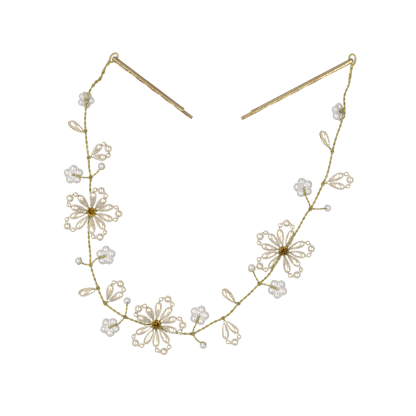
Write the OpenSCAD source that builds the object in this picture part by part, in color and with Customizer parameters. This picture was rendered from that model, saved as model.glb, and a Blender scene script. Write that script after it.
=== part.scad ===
/* [Beads] */
// Length of a long teardrop pearl
drop_len = 7.8; // [7.4:0.1:7.8]
// Widest radius of a teardrop pearl
drop_r = 1.8; // [1.5:0.05:1.8]
// Radius of the big round pearl at a petal's tip
big_r = 1.9; // [1.6:0.05:1.9]
// Radius of the small round pearls beside it
small_r = 1.25; // [1:0.05:1.25]
// Radius of a single pearl bud
bud_r = 1.85; // [1.6:0.05:1.9]
// Radius of the hole through a round pearl
bore_r = 0.4; // [0.36:0.01:0.42]
// Radius of the hole through a teardrop pearl
drop_bore_r = 0.33; // [0.3:0.01:0.35]

/* [Blossoms] */
// Distance of each lobe from the middle of a blossom
lobe_ring = 3; // [2.9:0.05:3.05]
// Radius of one lobe
lobe_r = 1.85; // [1.8:0.01:1.87]
// Radius of the disc in the middle
disc_r = 2.4; // [2:0.1:2.6]
// Thickness of that disc
disc_h = 2.4; // [1.6:0.1:2.4]
// Radius of the hole in the middle
blossom_bore_r = 0.5; // [0.45:0.05:0.6]

/* [Wire] */
// Radius of the twisted stem
stem_r = 0.5; // [0.4:0.05:0.5]
// Radius of the twisted twigs
twig_r = 0.42; // [0.3:0.02:0.42]
// Radius of the single wire in the end rings
ring_wire_r = 0.3; // [0.2:0.05:0.3]
// Radius of the thin wire that strings the beads
thread_r = 0.18; // [0.12:0.01:0.18]
// Radius of the wrapped knots on the stem
knot_r = 0.85; // [0.7:0.05:0.9]
// Length of a wrapped knot
knot_len = 2.2; // [1.4:0.1:2.4]

/* [Flower centres] */
// Radius of the wire coil in the middle of a flower
coil_r = 1.75; // [1.5:0.05:1.85]
// Radius of the coil's wire
coil_wire_r = 0.36; // [0.25:0.01:0.38]
// Turns of the coil
coil_turns = 3; // [2:1:4]

/* [Pins] */
// Length of the left pin
pin_left_len = 47.8; // [45:0.1:50]
// Length of the right pin
pin_right_len = 60.6; // [56:0.1:62]
// Width of the bent strip
strip_w = 1.8; // [1.4:0.1:1.9]
// Thickness of the strip
strip_t = 0.5; // [0.4:0.05:0.5]
// Clear gap between the legs at the bend
leg_gap = 1.4; // [1.35:0.05:1.6]
// How much shorter the upper leg is
short_leg = 5.5; // [4:0.5:7]
// Height of the waves in the lower leg
crimp_h = 0.6; // [0.3:0.05:0.6]

/* [Hidden] */
ivory = "#e8dccb";
white_pearl = "#e9e7e4";
gold_wire = "#b0a046";
dark_gold = "#96701c";
pale_gold = "#d8c08a";
stem_sides = 8;
thin_sides = 6;
knot_sides = 10;
bead_sides = 64;
bore_sides = 32;
coil_steps = 12;
coil_pitch = 0.85;
coil_narrowing = 0.16;
crimp_waves = 4;
crimp_steps = 36;
// Parts of a pin's length at which the waves begin and over which they run
crimp_from = 0.2;
crimp_span = 0.66;
// Part of the upper leg at which it comes nearest to the lower one
nip_at = 0.92;
lower_tip = 1.6;
// Clearance of a wire that passes beside a bead
beside = 0.15;
// Height of the beads' middles above the surface that the vine lies on
level = big_r;
twig_level = 2;
crossing_level = 2.8;
// Shift that brings the middle of the whole outline to the origin
centring = [0.12, 0.39, 0];

// Petal geometry, in the petal's own plane: x runs out along the petal, y across it
hub_r = 3.2;
sprig_hub_r = 2.15;
sprig_stub = 1.2;
hole_wire_r = 0.23;
thread_ring_r = 2.15;
// A lifted petal tilts about a line across its foot, this far from the flower's middle
petal_hinge = 2;
drop_end_r = 0.42;
drop_taper = 0.45;
half_spread = 3.3;
small_ahead = 1.55;
small_aside = 2.95;
big_ahead = 1.43;
small_heading = -25;
mouth = 0.96;

// Places where twigs and threads leave the stem
leaf_1_joint = [-60, 34.5, 2];
sprig_1_joint = [-58.5, 21.5, 2];
fork_1 = [-57.5, 12, 2];
fork_2 = [-57.5, -30, 2];
leaf_2_joint = [-54, -41, 2];
sprig_2_joint = [-50.5, -48.5, 2];
fork_3 = [-41, -55, 2];
fork_4 = [-8.5, -63, 2];
sprig_3_joint = [6, -55.5, 2];
leaf_3_joint = [13.5, -48.5, 2];
fork_5 = [23.5, -39, 2];
fork_6 = [48, -3, 2];
sprig_4_joint = [54, 9, 2];
leaf_4_joint = [58.5, 24.5, 2];
tie_1 = [-59, 48.5, 4.5];
tie_8 = [64.5, 43.5, 4.7];
neck_left = [-48.5, 67, 1.7];
neck_right = [68, 65.5, 1.5];

// Middles of the three flowers: the stem passes under the strung hub of two and over that of the third
flower_names = ["left", "low", "right"];
flower_middles = [[-57, -4.5, 1.1], [-26, -58.5, 1.1], [35, -23.3, 2.9]];
// Petals of each flower: direction, then how far the petal is lifted, in degrees
petal_table = [
    [[62, 35], [146.3, 33], [210.5, 7], [290, 20], [356.2, 12]],
    [[65.3, 5], [135, 34], [221.9, 0], [286.6, 11], [0.5, 21]],
    [[83.2, 0], [148, 8], [212.8, 0], [299, 18], [5, 11]]
];

// The stem's way from the left ring through the flowers to the right ring
left_arm = [
    neck_left, [-50.5, 65, 1.6], [-52, 61.5, 1.8], [-53, 59, 2], [-54.5, 58, 2.8], [-57, 54.5, 4.5],
    [-58.5, 51, 4.6], tie_1, [-59.5, 45.5, 4.2], [-60, 41.5, 2.8], [-60.2, 38, 2], leaf_1_joint,
    [-59.5, 29, 2], [-59, 24.5, 2], sprig_1_joint, [-58.3, 17, 2], fork_1, [-57.8, 7, 2.1],
    [-57.3, 1, 1.2]
];
lower_left = [
    [-58.5, -8.5, 1.2], [-58.5, -14.5, 1.8], [-58.3, -19, 2], [-57.7, -25, 2], fork_2, [-56, -35.5, 2],
    leaf_2_joint, [-52.5, -45, 2], sprig_2_joint, [-46, -52, 2], fork_3, [-34.5, -57.5, 2],
    [-31, -58.7, 1.2]
];
lower_right = [
    [-22, -61.5, 1], [-18, -62.5, 1.3], [-13, -63, 1.8], fork_4, [-6.5, -62, 2], [-3.5, -60.5, 2],
    [1.5, -57.5, 2], sprig_3_joint, [9.5, -53, 2], leaf_3_joint, [18.5, -44, 2], fork_5,
    [28, -34.5, 3], [30.7, -30, 4.2], [32.8, -26.8, 3.9]
];
right_arm = [
    [36.2, -21.9, 3], [38.2, -19.4, 4.1], [39.5, -16.5, 4.3], [42, -12.5, 3.3], [46, -5.5, 2.1], fork_6,
    [50.5, 1.5, 2], sprig_4_joint, [56, 13.5, 2], [57.5, 19.5, 2], leaf_4_joint, [60.2, 31, 2.6],
    [62, 36.5, 4], [62.8, 39, 5.1], [64.3, 41.2, 5.1], tie_8, [64.2, 46.5, 4.3], [64, 50, 3.1],
    [64.8, 53, 2.4], [66.5, 57, 1.8], [67.2, 61.5, 1.5], neck_right
];
stem_route = concat(
    left_arm, [flower_middles[0]], lower_left, [flower_middles[1]],
    lower_right, [flower_middles[2]], right_arm
);
// The end rings: each starts and ends in the stem and passes between the legs of its pin
ring_left = [
    [-49, 66.4, 1.6], [-48.6, 68.4, 1.6], [-48.3, 69.8, 1.5], [-47.8, 71, 1.3], [-46.8, 71.9, 1.1],
    [-45.6, 72.1, 1], [-44.7, 71.5, 1], [-44.5, 70.5, 1], [-45.1, 69.6, 1.1], [-46, 68.5, 1.45],
    [-46.9, 67.5, 1.75], [-47.9, 66.7, 1.8], [-49.2, 65.9, 1.7]
];
ring_right = [
    [67.8, 64.6, 1.5], [67.7, 66.7, 1.6], [67.1, 67.7, 1.4], [66.7, 69.1, 1.2], [67, 70.5, 1.1],
    [68.2, 71.3, 1.1], [69.4, 70.9, 1.1], [70, 69.6, 1.2], [69.8, 68.2, 1.3], [69.2, 66.9, 1.4],
    [68.3, 65.7, 1.5], [67.9, 64.4, 1.4]
];

// Sprigs: where the lines of the two drops meet, direction and lift of the petal, in degrees
sprig_joints = [sprig_1_joint, sprig_2_joint, sprig_3_joint, sprig_4_joint];
sprig_table = [
    [sprig_1_joint + [0.6, 0.2, 0], 21, 34],
    [sprig_2_joint + [0.5, 0, 0], 54, 14],
    [sprig_3_joint + [0.3, -0.3, 0], -64, 6],
    [sprig_4_joint + [0.8, 0.3, 0], 7, 18]
];
// Leaves: joint, narrow end of the pearl, its direction, and the side that the wire comes back on
leaf_table = [
    [leaf_1_joint, [-61.3, 34.3], 143.5, 1],
    [leaf_2_joint, [-55.4, -42], 196, -1],
    [leaf_3_joint, [11.2, -47.8], 134, -1],
    [leaf_4_joint, [56.8, 27.1], 113.5, 1]
];
// Buds: fork, bend of the twig, middle of the pearl, and the side that the wire comes back on
bud_table = [
    [fork_1, [-54.5, 14.3], [-52.3, 17.5], -1],
    [fork_2, [-60.5, -29.6], [-63.3, -28], 1],
    [fork_3, [-40.3, -51.5], [-40, -47.2], -1],
    [fork_4, [-7, -65.5], [-3.5, -68.5], 1],
    [fork_5, [21.5, -35.5], [19.7, -31.3], 1],
    [fork_6, [52, -3.1], [56.2, -2.7], 1]
];
// Blossoms: middle, direction of the valley that the twig crosses, sideways turn of the face, fork, and
// bends of the twig
blossom_table = [
    [[-59.8, 49.2], 28, 0, tie_1, []],
    [[-65.8, 13.4], -18, 0, fork_1, [[-59.5, 11.9]]],
    [[-50.2, -25.5], 198, 0, fork_2, [[-56.3, -28.7]]],
    [[-48.3, -59.8], 21, 0, fork_3, [[-42.6, -56.7]]],
    [[-5.4, -54.1], 249, 0, fork_4, [[-8.1, -60.7]]],
    [[32.2, -41.5], 158, 0, fork_5, [[25.7, -39.2]]],
    [[44.5, 7.2], 284, 0, fork_6, [[47.3, -0.5]]],
    [[61.2, 43.2], -23, 45, tie_8, []]
];
// Pins: outside of the bend, direction, roll about its length, length
pin_left_at = [-47.2, 69.2];
pin_left_turn = -36.7;
pin_left_roll = -20;
pin_right_at = [68.6, 68.3];
pin_right_turn = 207.5;
pin_right_roll = 12;

// Vectors and routes
function unit(v) = v / norm(v);
function turned(p, angle) = [p.x * cos(angle) - p.y * sin(angle), p.x * sin(angle) + p.y * cos(angle), p.z];
function lifted(p, angle, hinge) = [hinge + (p.x - hinge) * cos(angle), p.y, (p.x - hinge) * sin(angle)];
function from_petal(p, turn, lift, hinge, middle) = turned(lifted(p, lift, hinge), turn) + middle;
function heading(a, b) = atan2(b.y - a.y, b.x - a.x);
function raised(p, height) = [p.x, p.y, height];

// Smooth curve through the points, each stretch cut into the given number of steps
function curve_point(a, b, c, d, t) = 0.5 * (
    2 * b + (c - a) * t + (2 * a - 5 * b + 4 * c - d) * t * t + (3 * b - a - 3 * c + d) * t * t * t
);
function curve(points, steps) = [
    for (i = [0:len(points) - 2], step = [0:steps - 1])
        curve_point(points[max(i - 1, 0)], points[i], points[i + 1], points[min(i + 2, len(points) - 1)],
            step / steps),
    points[len(points) - 1]
];

// Direction of a route at one of its points
function direction_at(before, here, after) =
    before == here ? unit(after - here)
    : after == here ? unit(here - before)
    : unit(unit(here - before) + unit(after - here));
function tangent(route, i) = direction_at(route[max(i - 1, 0)], route[i], route[min(i + 1, len(route) - 1)]);
function tangent_closed(route, i) =
    let (count = len(route))
    direction_at(route[(i + count - 1) % count], route[i], route[(i + 1) % count]);
// Sideways direction carried along the route without twist
function carried(side, along) = unit(side - (side * along) * along);
function first_side(along) = carried(abs(along.z) < 0.9 ? [0, 0, 1] : [1, 0, 0], along);
function sides_along(route) = [
    for (i = 0, side = first_side(tangent(route, 0)); i < len(route);
        i = i + 1, side = i < len(route) ? carried(side, tangent(route, i)) : side) side
];
function circle_points(at, along, side, radius, count) = [
    for (k = [0:count - 1])
        at + radius * (cos(360 * k / count) * side + sin(360 * k / count) * cross(along, side))
];
function band_faces(first, second, count) = [
    for (k = [0:count - 1])
        let (next = (k + 1) % count)
        [first * count + k, second * count + k, second * count + next, first * count + next]
];

// Round wire along an open route
module wire(route, radius, count) {
    sides = sides_along(route);
    rings = len(route);
    polyhedron(
        points = [
            for (i = [0:rings - 1]) each circle_points(route[i], tangent(route, i), sides[i], radius, count)
        ],
        faces = concat(
            [[for (k = [0:count - 1]) k]],
            [for (i = [0:rings - 2]) each band_faces(i, i + 1, count)],
            [[for (k = [count - 1:-1:0]) (rings - 1) * count + k]]
        )
    );
}

// Round wire along a route that closes on itself and never stands upright
module closed_wire(route, radius, count) {
    rings = len(route);
    polyhedron(
        points = [
            for (i = [0:rings - 1])
                let (along = tangent_closed(route, i))
                each circle_points(route[i], along, carried([0, 0, 1], along), radius, count)
        ],
        faces = [for (i = [0:rings - 1]) each band_faces(i, (i + 1) % rings, count)]
    );
}

// Beads
module round_bead(radius, angle) {
    rotate([0, 90, angle]) difference() {
        sphere(r = radius, $fn = bead_sides);
        cylinder(r = bore_r, h = 3 * radius, center = true, $fn = bore_sides);
    }
}

function drop_shape(angle) = sin(angle) * (1 - drop_taper * cos(angle));
drop_peak = max([for (angle = [0:2:180]) drop_shape(angle)]);
function drop_width(angle) = drop_end_r + (drop_r - drop_end_r) * drop_shape(angle) / drop_peak;

// A teardrop that starts at the origin with its narrow end and points along +x
module drop_bead() {
    rotate([0, 90, 0]) rotate_extrude($fn = bead_sides) polygon(concat(
        [[drop_bore_r, 0]],
        [for (angle = [0:12:180]) [drop_width(angle), drop_len * (1 - cos(angle)) / 2]],
        [[drop_bore_r, drop_len]]
    ));
}

// Where the beads of a petal sit, for a petal whose drops start at the given distance
function splay(start) = asin(half_spread / (start + drop_len));
function drop_end_x(start) = (start + drop_len) * cos(splay(start));
function small_at(start) = [drop_end_x(start) + small_ahead, small_aside, 0];
function big_at(start) = [drop_end_x(start) + small_ahead + big_ahead, 0, 0];

module petal_beads(start) {
    for (side = [-1, 1]) {
        rotate([0, 0, side * splay(start)]) translate([start, 0, 0]) drop_bead();
        translate([small_at(start).x, side * small_aside, 0]) round_bead(small_r, side * small_heading);
    }
    translate(big_at(start)) round_bead(big_r, 90);
}

// Puts a petal's pieces where the thread's functions put its route
module at_petal(turn, lift, hinge, middle) {
    translate(middle) rotate([0, 0, turn]) translate([hinge, 0, 0]) rotate([0, -lift, 0])
        translate([-hinge, 0, 0]) children();
}

// Half of the thread's way round a petal: along one drop, through the small pearl, to the big pearl
function half_loop(start, inner) =
    let (
        angle = splay(start),
        along = [cos(angle), sin(angle), 0],
        through = mouth * small_r * [cos(small_heading), sin(small_heading), 0]
    )
    [
        inner * along, (start + drop_len + 0.1) * along,
        small_at(start) - through, small_at(start) + through, big_at(start) + [0, mouth * big_r, 0]
    ];
function other_side(p) = [p.x, -p.y, p.z];
function backwards(points) = [for (i = [len(points) - 1:-1:0]) points[i]];
function petal_loop(start, inner) =
    let (half = half_loop(start, inner))
    concat([for (p = half) other_side(p)], backwards(half));

module flower_petal(flower, petal) {
    row = petal_table[flower][petal];
    color(ivory) translate(centring)
        at_petal(row[0], row[1], petal_hinge, raised(flower_middles[flower], level)) petal_beads(hub_r);
}

module flower_thread(flower) {
    middle = raised(flower_middles[flower], level);
    loop = petal_loop(hub_r, thread_ring_r);
    color(gold_wire) translate(centring) closed_wire(
        [for (row = petal_table[flower], p = loop) from_petal(p, row[0], row[1], petal_hinge, middle)],
        thread_r, thin_sides
    );
}

// A coil whose turns lie above each other and grow narrower
module flower_centre(flower) {
    middle = flower_middles[flower];
    foot = max(middle.z + stem_r, level + thread_r) + coil_wire_r + beside;
    color(dark_gold) translate(centring) wire([
        for (turn = [0:1 / coil_steps:coil_turns])
            let (angle = 360 * turn, reach = coil_r * (1 - coil_narrowing * turn))
            raised(middle, 0) + [reach * cos(angle), reach * sin(angle), foot + coil_pitch * turn]
    ], coil_wire_r, thin_sides);
}

module sprig(i) {
    row = sprig_table[i];
    color(ivory) translate(centring) at_petal(row[1], row[2], 0, row[0]) petal_beads(sprig_hub_r);
}

module sprig_thread(i) {
    row = sprig_table[i];
    loop = petal_loop(sprig_hub_r, sprig_stub - thread_r);
    wire([sprig_joints[i], from_petal([sprig_stub, 0, 0], row[1], row[2], 0, row[0])], twig_r, thin_sides);
    wire([for (p = loop) from_petal(p, row[1], row[2], 0, row[0])], thread_r, thin_sides);
}

module leaf(i) {
    row = leaf_table[i];
    color(ivory) translate(raised(row[1], twig_level) + centring) rotate([0, 0, row[2]]) drop_bead();
}

// The thread runs through the pearl, turns round its wide end and comes back beside it
module leaf_thread(i) {
    row = leaf_table[i];
    side = row[3];
    clear = drop_r + thread_r + beside;
    at = raised(row[1], twig_level);
    way = curve([
        [-0.6, 0, 0], [0.4 * drop_len, 0, 0], [drop_len - 0.4, 0, 0], [drop_len + 0.5, 0.3 * side, 0],
        [drop_len + 0.2, 1.4 * side, 0], [0.75 * drop_len, clear * side, 0],
        [0.4 * drop_len, 0.9 * clear * side, 0], [0.1 * drop_len, 0.65 * clear * side, 0],
        [-0.8, 0.4 * side, 0]
    ], 2);
    wire([for (p = way) at + turned(p, row[2])], thread_r, thin_sides);
    wire([row[0], at + turned([-0.5, 0.15 * side, 0], row[2])], twig_r, thin_sides);
}

module bud(i) {
    row = bud_table[i];
    color(white_pearl) translate(raised(row[2], twig_level) + centring)
        round_bead(bud_r, heading(row[1], row[2]));
}

module bud_twig(i) {
    row = bud_table[i];
    side = row[3];
    angle = heading(row[1], row[2]);
    clear = bud_r + thread_r + beside;
    at = raised(row[2], twig_level);
    foot = at + turned([-bud_r - 0.6, 0, 0], angle);
    way = curve([
        [-bud_r - 1, 0, 0], [-0.5, 0, 0], [bud_r - 0.3, 0, 0], [clear + 0.2, 0.5 * side, 0],
        [0.6 * clear, 0.85 * clear * side, 0], [-0.2, clear * side, 0],
        [-0.8 * clear, 0.7 * clear * side, 0], [-clear - 0.8, 0.3 * side, 0]
    ], 2);
    wire(curve([row[0], raised(row[1], twig_level), foot], 3), twig_r, thin_sides);
    wire([for (p = way) at + turned(p, angle)], thread_r, thin_sides);
}

// Height of a blossom's middle: flat ones rest on their lobes, a turned one on its lowest lobe
function blossom_height(turn) = lobe_r + lobe_ring * sin(turn);

module blossom(i) {
    row = blossom_table[i];
    color(white_pearl) translate(raised(row[0], blossom_height(row[2])) + centring) rotate([0, row[2], 0])
        rotate([0, 0, row[1]]) difference() {
            union() {
                for (angle = [36:72:324]) rotate([0, 0, angle]) translate([lobe_ring, 0, 0])
                    sphere(r = lobe_r, $fn = bead_sides);
                cylinder(r = disc_r, h = disc_h, center = true, $fn = bead_sides);
            }
            cylinder(r = blossom_bore_r, h = 3 * disc_h, center = true, $fn = bore_sides);
        }
}

// The twig crosses the face in the valley between two lobes and goes down the hole
module blossom_twig(i) {
    row = blossom_table[i];
    face = disc_h / 2 + twig_r + beside;
    middle = raised(row[0], blossom_height(row[2]));
    out = [sin(row[2]), 0, cos(row[2])];
    top = middle + face * out;
    valley = [cos(row[1]), sin(row[1]), 0];
    bends = [for (bend = row[4]) raised(bend, crossing_level)];
    crossing = len(bends) > 0 ? [for (reach = [4.4, 2.8, 1.3]) top + reach * valley] : [];
    wire(curve(concat([row[3]], bends, crossing, [top]), 2), twig_r, thin_sides);
    wire([top + thread_r * out, middle - (disc_h / 2 - beside) * out], hole_wire_r, thin_sides);
}

// Turns of wire wrapped round the stem, lying along the route
module knot(at, angle) {
    translate(at) rotate([0, 90, angle]) hull() {
        cylinder(r = knot_r, h = 0.5 * knot_len, center = true, $fn = knot_sides);
        cylinder(r = stem_r + 0.1, h = knot_len, center = true, $fn = knot_sides);
    }
}

// Joints and the direction of the stem there
knot_table = [
    [leaf_1_joint, 92], [sprig_1_joint, 98], [fork_1, 80], [fork_2, 75], [leaf_2_joint, -68],
    [sprig_2_joint, -50], [fork_3, -25], [fork_4, 10], [sprig_3_joint, 32], [leaf_3_joint, 50],
    [fork_5, 45], [fork_6, 62], [sprig_4_joint, 64], [leaf_4_joint, 78], [tie_8, 92]
];

module vine_wire() {
    color(gold_wire) translate(centring) union() {
        wire(curve(stem_route, 2), stem_r, stem_sides);
        wire(curve(ring_left, 2), ring_wire_r, thin_sides);
        wire(curve(ring_right, 2), ring_wire_r, thin_sides);
        for (row = knot_table) knot(row[0], row[1]);
        for (i = [0:len(sprig_table) - 1]) sprig_thread(i);
        for (i = [0:len(leaf_table) - 1]) leaf_thread(i);
        for (i = [0:len(bud_table) - 1]) bud_twig(i);
        for (i = [0:len(blossom_table) - 1]) blossom_twig(i);
    }
}

// Route of a pin's strip in its own plane: short upper leg, bend, long crimped lower leg
low = strip_t / 2;
bend_r = (leg_gap + strip_t) / 2;
bend_x = bend_r + strip_t / 2;
function wave(u) = u > 0 && u < 1 ? crimp_h * (1 - cos(360 * crimp_waves * u)) / 2 : 0;
function pin_route(length) =
    let (
        upper_end = length - short_leg,
        nip_x = nip_at * upper_end,
        nip = crimp_h + 2 * strip_t,
        lower_len = length - lower_tip - bend_x
    )
    concat(
        [[upper_end, nip + 0.35], [(upper_end + nip_x) / 2, nip + 0.05], [nip_x, nip]],
        [for (angle = [90:15:270]) [bend_x + bend_r * cos(angle), low + bend_r + bend_r * sin(angle)]],
        [for (step = [1:crimp_steps])
            let (x = bend_x + lower_len * step / crimp_steps)
            [x, low + wave((x / length - crimp_from) / crimp_span)]],
        [[length - lower_tip / 2, low + 0.1], [length, low + 0.35]]
    );

function left_of(route, i) = let (along = tangent(route, i)) [-along.y, along.x];
function strip_outline(route) = concat(
    [for (i = [0:len(route) - 1]) route[i] + strip_t / 2 * left_of(route, i)],
    [for (i = [len(route) - 1:-1:0]) route[i] - strip_t / 2 * left_of(route, i)]
);

module pin(at, turn, roll, length) {
    foot = strip_w / 2 * abs(sin(roll));
    translate(raised(at, foot) + centring) rotate([roll, 0, turn]) rotate([90, 0, 0])
        linear_extrude(height = strip_w, center = true) polygon(strip_outline(pin_route(length)));
}

module pin_left() {
    color(pale_gold) pin(pin_left_at, pin_left_turn, pin_left_roll, pin_left_len);
}
module pin_right() {
    color(pale_gold) pin(pin_right_at, pin_right_turn, pin_right_roll, pin_right_len);
}

pin_left();
pin_right();
vine_wire();
for (f = [0:len(flower_names) - 1]) {
    name = str("flower_", flower_names[f]);
    flower_thread(f);
    flower_centre(f);
    for (p = [0:len(petal_table[f]) - 1])
        flower_petal(f, p);
}
for (i = [0:len(sprig_table) - 1]) sprig(i);
for (i = [0:len(leaf_table) - 1]) leaf(i);
for (i = [0:len(blossom_table) - 1]) blossom(i);
for (i = [0:len(bud_table) - 1]) bud(i);
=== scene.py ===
"""A pearl hair vine lying flat: beads strung on twisted gold wire, a hairpin linked through each end ring."""
import random
from math import asin, atan2, cos, degrees, pi, radians, sin, tan, tau

import bmesh
import bpy
from bpy.props import FloatProperty, FloatVectorProperty, IntProperty, PointerProperty
from mathutils import Matrix, Vector
from mathutils.geometry import interpolate_bezier


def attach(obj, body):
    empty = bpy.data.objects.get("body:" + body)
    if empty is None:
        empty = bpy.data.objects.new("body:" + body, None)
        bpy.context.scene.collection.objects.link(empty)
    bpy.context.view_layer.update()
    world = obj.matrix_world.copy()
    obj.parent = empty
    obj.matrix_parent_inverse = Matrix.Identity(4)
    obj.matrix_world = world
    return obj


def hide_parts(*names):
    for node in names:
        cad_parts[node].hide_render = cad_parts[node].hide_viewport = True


bl_info = {
    "name": "Hair vine with pearl flowers",
    "version": (1, 0, 0),
    "blender": (4, 5, 0),
    "location": "3D View > Sidebar > Hair vine",
    "description": "Strings pearls on twisted wire and dresses the packed model with them",
    "category": "Object",
}

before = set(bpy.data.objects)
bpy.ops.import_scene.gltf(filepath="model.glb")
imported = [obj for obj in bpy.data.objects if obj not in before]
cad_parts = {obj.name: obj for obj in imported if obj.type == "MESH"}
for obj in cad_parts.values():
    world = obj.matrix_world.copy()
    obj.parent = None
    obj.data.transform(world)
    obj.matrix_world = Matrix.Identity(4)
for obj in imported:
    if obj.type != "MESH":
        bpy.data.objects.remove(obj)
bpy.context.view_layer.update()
MM = 0.001

# The layout below is in millimetres, read off the photograph; this shift brings its middle to the origin.
CENTRING = Vector((0.12, 0.39, 0))
# Heights of a flower's beads, of the twigs, and of a twig that is about to cross a blossom
BEAD_LEVEL = 1.9
TWIG_LEVEL = 2.0
CROSSING_LEVEL = 2.8
# Distances from a petal's inner point: the line that it tilts about, the drops' starts in a flower and in a
# sprig, the end of a sprig's twisted stub, and the thread's turn between two petals
HINGE = 2.0
PETAL_HUB = 3.2
SPRIG_HUB = 2.15
SPRIG_STUB = 1.2
THREAD_RING = 2.15
# From a petal's middle line to a drop's outer end; from there ahead to the small pearl, and that pearl's own
# distance from the line; from it ahead to the big pearl; and the direction of the small bore, in degrees
HALF_SPREAD = 3.3
SMALL_AHEAD = 1.55
SMALL_ASIDE = 2.95
BIG_AHEAD = 1.43
SMALL_HEADING = -25
# A blossom with a turned face stands higher by this times the sine of the turn
TURNED_RISE = 3.0
BLOSSOM_VOXEL = 0.13
GRAINS = 9
GRAIN_RING = 1.25
# Turn lengths of the twigs' pairs: as a share of the stem's on a long twig, in millimetres on a short one
TWIG_TWIST = 0.75
SHORT_TWIST = 2.4
# How far each wire of a pair lies from the pair's middle, in its own radii
PAIR_OFFSET = 0.82
CAMERA_HEIGHT = 473.5
POINTS_PER_TURN = 20

# Places where twigs and threads leave the stem
JOINTS = {
    "leaf_1": (-60, 34.5, 2),
    "sprig_1": (-58.5, 21.5, 2),
    "fork_1": (-57.5, 12, 2),
    "fork_2": (-57.5, -30, 2),
    "leaf_2": (-54, -41, 2),
    "sprig_2": (-50.5, -48.5, 2),
    "fork_3": (-41, -55, 2),
    "fork_4": (-8.5, -63, 2),
    "sprig_3": (6, -55.5, 2),
    "leaf_3": (13.5, -48.5, 2),
    "fork_5": (23.5, -39, 2),
    "fork_6": (48, -3, 2),
    "sprig_4": (54, 9, 2),
    "leaf_4": (58.5, 24.5, 2),
    "tie_1": (-59, 48.5, 4.5),
    "tie_8": (64, 43.4, 4.8),
    "neck_left": (-48.5, 67, 1.7),
    "neck_right": (68, 65.5, 1.5),
}
# Direction of the stem at each wrapped joint, in degrees
WRAPS = {
    "leaf_1": 92, "sprig_1": 98, "fork_1": 80, "fork_2": 75, "leaf_2": -68, "sprig_2": -50, "fork_3": -25,
    "fork_4": 10, "sprig_3": 32, "leaf_3": 50, "fork_5": 45, "fork_6": 62, "sprig_4": 64, "leaf_4": 78,
}
# Flowers: middle, then direction and lift of each petal, in degrees
FLOWERS = {
    "left": ((-57, -4.5, 1.1), ((62, 35), (146.3, 33), (210.5, 7), (290, 20), (356.2, 12))),
    "low": ((-26, -58.5, 1.1), ((65.3, 5), (135, 34), (221.9, 0), (286.6, 11), (0.5, 21))),
    "right": ((35, -23.3, 2.9), ((83.2, 0), (148, 8), (212.8, 0), (299, 18), (5, 11))),
}
# The stem's way from the left ring through the flowers to the right ring; a name is one of the joints
STEM = (
    "neck_left", (-50.5, 65, 1.6), (-52, 61.5, 1.8), (-53, 59, 2), (-54.5, 58, 2.8), (-57, 54.5, 4.5),
    (-58.5, 51, 4.6), "tie_1", (-59.5, 45.5, 4.2), (-60, 41.5, 2.8), (-60.2, 38, 2), "leaf_1",
    (-59.5, 29, 2), (-59, 24.5, 2), "sprig_1", (-58.3, 17, 2), "fork_1", (-57.8, 7, 2.1), (-57.3, 1, 1.2),
    (-57, -4.5, 1.1),
    (-58.5, -8.5, 1.2), (-58.5, -14.5, 1.8), (-58.3, -19, 2), (-57.7, -25, 2), "fork_2", (-56, -35.5, 2),
    "leaf_2", (-52.5, -45, 2), "sprig_2", (-46, -52, 2), "fork_3", (-34.5, -57.5, 2), (-31, -58.7, 1.2),
    (-26, -58.5, 1.1),
    (-22, -61.5, 1), (-18, -62.5, 1.3), (-13, -63, 1.8), "fork_4", (-6.5, -62, 2), (-3.5, -60.5, 2),
    (1.5, -57.5, 2), "sprig_3", (9.5, -53, 2), "leaf_3", (18.5, -44, 2), "fork_5", (28, -34.5, 3),
    (30.7, -30, 4.2), (32.8, -26.8, 3.9),
    (35, -23.3, 2.9),
    (36.2, -21.9, 3), (38.2, -19.4, 4.1), (39.5, -16.5, 4.3), (42, -12.5, 3.3), (46, -5.5, 2.1), "fork_6",
    (50.5, 1.5, 2), "sprig_4", (56, 13.5, 2), (57.5, 19.5, 2), "leaf_4", (60.2, 31, 2.6), (62, 36.5, 4),
    (62.6, 39, 5.1), (63.8, 41.2, 5.1), "tie_8", (64, 46.5, 4.3), (64, 50, 3.1), (64.8, 53, 2.4),
    (66.5, 57, 1.8), (67.2, 61.5, 1.5), "neck_right",
)
# The end rings: each starts and ends in the stem and passes between the legs of its pin
RINGS = (
    (
        (-49.6, 66, 1.6), (-48.7, 67.7, 1.6), (-48.3, 69.2, 1.5), (-47.7, 70.7, 1.3), (-46.7, 71.5, 1.1),
        (-45.6, 71.8, 1), (-44.8, 71.3, 1), (-44.6, 70.4, 1), (-45.1, 69.6, 1.1), (-46, 68.5, 1.45),
        (-46.9, 67.6, 1.7), (-47.9, 67.4, 1.8), (-48.9, 66.9, 1.7), (-49.8, 65.8, 1.6),
    ),
    (
        (67.8, 64.6, 1.5), (67.7, 66.7, 1.6), (67.1, 67.7, 1.4), (66.7, 69.1, 1.2), (67, 70.5, 1.1),
        (68.2, 71.3, 1.1), (69.2, 70.8, 1.1), (69.7, 69.6, 1.2), (69.6, 68.2, 1.3), (69.2, 66.9, 1.4),
        (68.3, 65.7, 1.5), (67.9, 64.4, 1.4),
    ),
)
# The wire's ends run back from each ring along the stem
TAILS = (
    ((-48.7, 67.6, 1.6), (-49.4, 66.5, 1.6), (-50.5, 65, 1.6), (-52, 61.5, 1.8), (-53, 59.6, 2)),
    ((68, 66.2, 1.5), (67.8, 65, 1.5), (67.2, 61.5, 1.5), (66.5, 57.4, 1.7)),
)
# Places on the stem with a few tight turns of wire, and the stem's direction there
WRAPPED_SPOTS = (
    ((-51.6, 62.3, 1.75), 65), ((-53.1, 59.2, 2), 60), ((-54.7, 57.8, 2.9), 50), ((-56, 56.1, 3.8), 55),
    ((-57.1, -1.2, 1.2), 90),
)
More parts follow.
